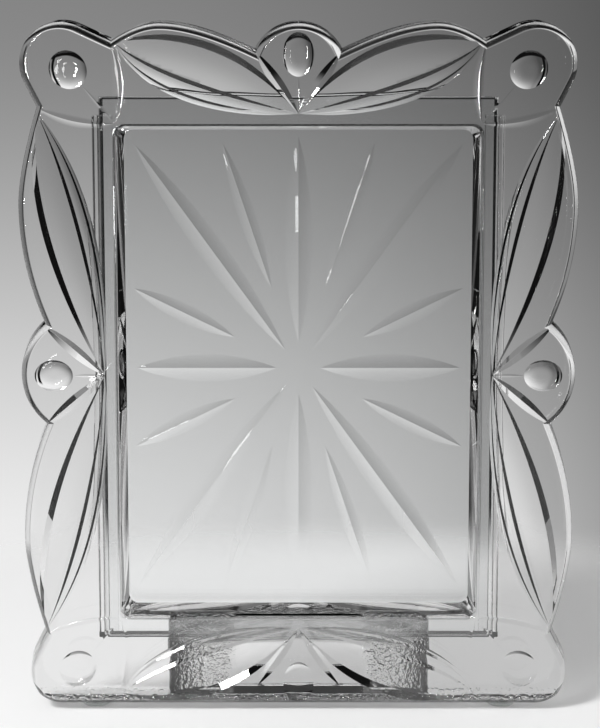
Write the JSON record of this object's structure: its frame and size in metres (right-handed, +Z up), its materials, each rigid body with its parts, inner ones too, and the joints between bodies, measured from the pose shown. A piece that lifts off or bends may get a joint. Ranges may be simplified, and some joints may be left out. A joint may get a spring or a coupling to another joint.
{
  "type": "picture frame",
  "caption": "Standing cut-crystal picture frame with a scalloped border, leaf and thumbprint cuts, and a clear pane and star-cut back panel that lift out of side rails.",
  "frame": {"origin": "on the standing surface, under the middle of the footprint", "axes": "+Z up, the frame's face looks along -Y, +X to the viewer's right"},
  "size_m": [0.1826, 0.0384, 0.2273],
  "materials": {
    "lead_crystal": "fire-polished clear lead crystal, cut and polished facets",
    "float_glass": "clear float glass, ground edges",
    "clear_acrylic": "clear polished acrylic strip",
    "clear_rubber": "clear soft polyurethane"
  },
  "bodies": {
    "frame": {"crystal_border": "lead_crystal", "left_rail": "clear_acrylic", "right_rail": "clear_acrylic", "rear_foot": "lead_crystal", "front_pad_left": "clear_rubber", "front_pad_right": "clear_rubber", "rear_pad_left": "clear_rubber", "rear_pad_right": "clear_rubber"},
    "panel": {"star_panel": "lead_crystal"},
    "pane": {"cover_pane": "float_glass"}
  },
  "joints": [
    {"name": "panel_lift", "type": "slide", "parent": "frame", "child": "panel", "axis": [0, 0, 1], "range_m": [0, 0.182]},
    {"name": "pane_lift", "type": "slide", "parent": "frame", "child": "pane", "axis": [0, 0, 1], "range_m": [0, 0.182]}
  ]
}
